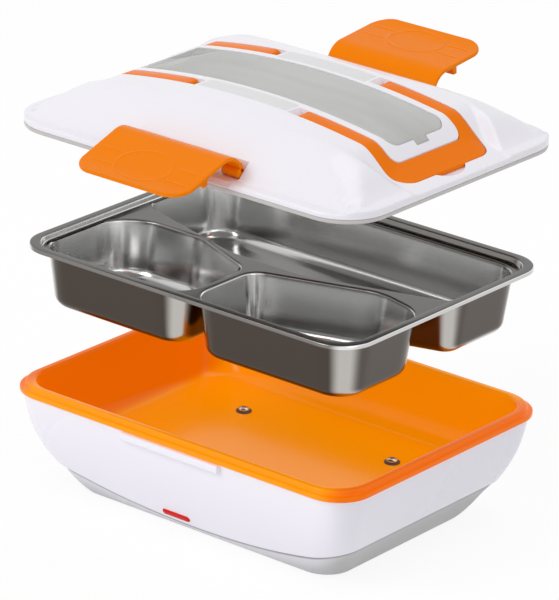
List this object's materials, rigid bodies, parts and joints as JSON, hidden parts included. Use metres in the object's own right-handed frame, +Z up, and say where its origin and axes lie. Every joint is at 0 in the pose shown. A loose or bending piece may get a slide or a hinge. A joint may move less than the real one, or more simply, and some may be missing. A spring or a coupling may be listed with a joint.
{
  "type": "electric lunch box",
  "caption": "Oblong electric lunch box with an orange lined heated base, a divided steel tray and a domed white lid with folding handles, a clear spoon flap and side clips, drawn taken apart.",
  "frame": {"origin": "on the table, under the middle of the base, at the height of the feet", "axes": "+X along the box to the side away from the inlet, -Y to the side with the power indicator, +Z up"},
  "size_m": [0.236, 0.2626, 0.2445],
  "materials": {
    "white_shell": "gloss",
    "grey_cover": "fine matt",
    "orange_liner": "gloss",
    "aluminium": "satin",
    "mica": "matt",
    "clamp_steel": "brushed",
    "bright_steel": "bright",
    "grey_seal": "matt",
    "black_plastic": "matt",
    "ceramic": "matt",
    "red_lens": "clear red",
    "red_led": "clear",
    "board": "matt",
    "brass_pins": "bright",
    "brown_lead": "matt",
    "blue_lead": "matt",
    "red_lead": "matt",
    "dark_rubber": "matt",
    "tray_steel": "polished",
    "white_lid": "gloss",
    "lid_grey": "satin",
    "seal_silicone": "matt",
    "smoked_clear": "clear grey",
    "orange_handle": "gloss",
    "orange_clip": "gloss"
  },
  "bodies": {
    "base": {"outer_shell": "white_shell", "bottom_cover": "grey_cover", "inner_liner": "orange_liner", "heat_plate": "aluminium", "heater_element": "mica", "heater_clamp": "clamp_steel", "floor_screws": "bright_steel", "floor_washers": "grey_seal", "floor_nuts": "bright_steel", "thermostat": "black_plastic", "thermal_fuse": "ceramic", "fuse_strap": "clamp_steel", "indicator_lens": "red_lens", "indicator_led": "red_led", "indicator_board": "board", "inlet_socket": "black_plastic", "inlet_pins": "brass_pins", "lead_live": "brown_lead", "lead_neutral": "blue_lead", "lead_indicator": "red_lead", "rubber_feet": "dark_rubber", "cover_screws": "bright_steel"},
    "tray": {"food_tray": "tray_steel"},
    "lid": {"lid_shell": "white_lid", "lid_inner": "lid_grey", "lid_seal": "seal_silicone", "lid_screws": "bright_steel", "handle_pins": "bright_steel", "clip_pins": "bright_steel"},
    "spoon_flap": {"spoon_cover": "smoked_clear"},
    "left_handle": {"handle_left": "orange_handle"},
    "right_handle": {"handle_right": "orange_handle"},
    "front_clip": {"clip_front": "orange_clip"},
    "back_clip": {"clip_back": "orange_clip"}
  },
  "joints": [
    {"name": "tray_lift", "type": "slide", "parent": "base", "child": "tray", "axis": [0, 0, 1], "range_m": [-0.0785, 0]},
    {"name": "lid_lift", "type": "slide", "parent": "tray", "child": "lid", "axis": [0, 0, 1], "range_m": [-0.0688, 0]},
    {"name": "clip_front_hinge", "type": "hinge", "parent": "lid", "child": "front_clip", "pos_m": [0, -0.0835, 0.2221], "axis": [-1, 0, 0], "range_deg": [-71, 39]},
    {"name": "clip_back_hinge", "type": "hinge", "parent": "lid", "child": "back_clip", "pos_m": [0, 0.0835, 0.2221], "axis": [1, 0, 0], "range_deg": [-96, 14]},
    {"name": "handle_left_hinge", "type": "hinge", "parent": "lid", "child": "left_handle", "pos_m": [-0.039, 0, 0.24052], "axis": [0, 1, 0], "range_deg": [0, 120]},
    {"name": "handle_right_hinge", "type": "hinge", "parent": "lid", "child": "right_handle", "pos_m": [0.039, 0, 0.24052], "axis": [0, -1, 0], "range_deg": [0, 120]},
    {"name": "spoon_cover_hinge", "type": "hinge", "parent": "lid", "child": "spoon_flap", "pos_m": [-0.0862, 0, 0.23301], "axis": [0, -1, 0], "range_deg": [0, 85]}
  ]
}
